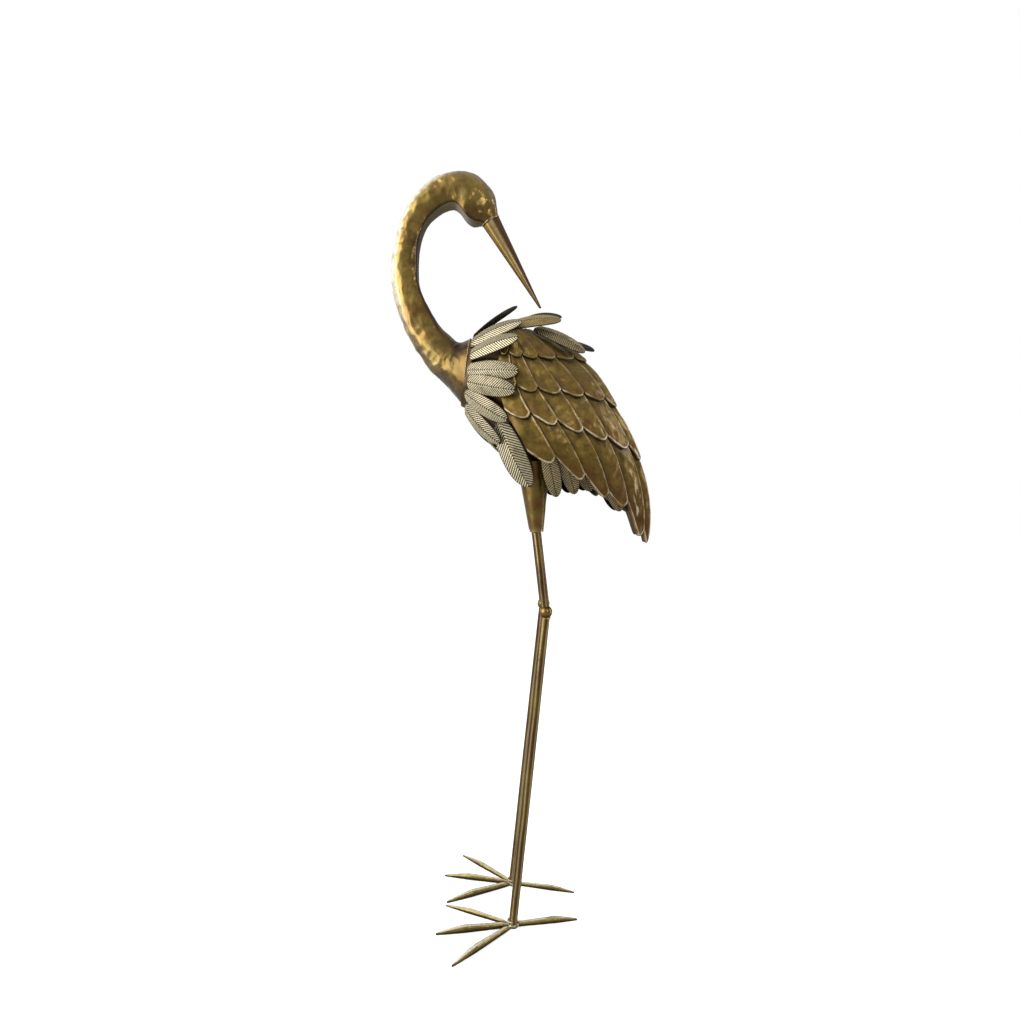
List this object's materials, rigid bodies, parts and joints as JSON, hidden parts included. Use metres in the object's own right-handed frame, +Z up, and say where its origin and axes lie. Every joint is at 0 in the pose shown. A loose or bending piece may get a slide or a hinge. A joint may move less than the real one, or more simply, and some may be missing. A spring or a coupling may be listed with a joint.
{
  "type": "crane garden statue",
  "caption": "Standing crane of painted sheet iron and rod, neck bent back over its breast, folded wings of long feathers, leaf-shaped collar feathers and forged toes.",
  "frame": {"origin": "on the ground, midway between the feet, at the bottom centre of the crane's box", "axes": "+Z up; the crane's breast looks along -X, its tail points along +X; its left side is -Y"},
  "size_m": [0.3474, 0.2387, 0.9996],
  "materials": {
    "hammered_sheet": "antique gold paint over hammered sheet iron, rubbed pale on the outer curve",
    "beak": "satin gold paint on folded sheet",
    "body": "dark bronze paint",
    "wing": "antique gold and red-brown paint on pressed sheet, with rubbed pale feather rims",
    "leaf": "pale gold dry-brushed over dark brown on embossed sheet",
    "dark_leaf": "olive gold paint, dark in its grooves",
    "thigh": "brown gold paint on rolled sheet",
    "rod": "glossy brown gold paint on round bar",
    "toe": "gold paint on forged bar, dark at the tips"
  },
  "bodies": {
    "root": {"neck_and_head": "hammered_sheet", "beak": "beak", "body": "body", "wing_left": "wing", "wing_right": "wing", "collar_feather_1_left": "leaf", "collar_feather_1_right": "leaf", "collar_feather_2_left": "leaf", "collar_feather_2_right": "leaf", "collar_feather_3_left": "leaf", "collar_feather_3_right": "leaf", "collar_feather_4_left": "leaf", "collar_feather_4_right": "leaf", "collar_feather_5_left": "leaf", "collar_feather_5_right": "leaf", "collar_feather_6_left": "leaf", "collar_feather_6_right": "leaf", "collar_feather_throat": "leaf", "crest_feather": "leaf", "back_feather_1_left": "leaf", "back_feather_1_right": "leaf", "back_feather_2_left": "leaf", "back_feather_2_right": "leaf", "breast_feather_left": "dark_leaf", "breast_feather_right": "dark_leaf", "belly_feather_1_left": "leaf", "belly_feather_1_right": "leaf", "belly_feather_2_left": "leaf", "belly_feather_2_right": "leaf", "belly_feather_3_left": "leaf", "belly_feather_3_right": "leaf", "belly_feather_4_left": "dark_leaf", "belly_feather_4_right": "dark_leaf", "thigh_left": "thigh", "thigh_right": "thigh", "upper_leg_left": "rod", "upper_leg_right": "rod", "knee_left": "rod", "knee_right": "rod", "lower_leg_left": "rod", "lower_leg_right": "rod", "toe_outer_left": "toe", "toe_outer_right": "toe", "toe_middle_left": "toe", "toe_middle_right": "toe", "toe_inner_left": "toe", "toe_inner_right": "toe", "toe_hind_left": "toe", "toe_hind_right": "toe"}
  },
  "joints": []
}
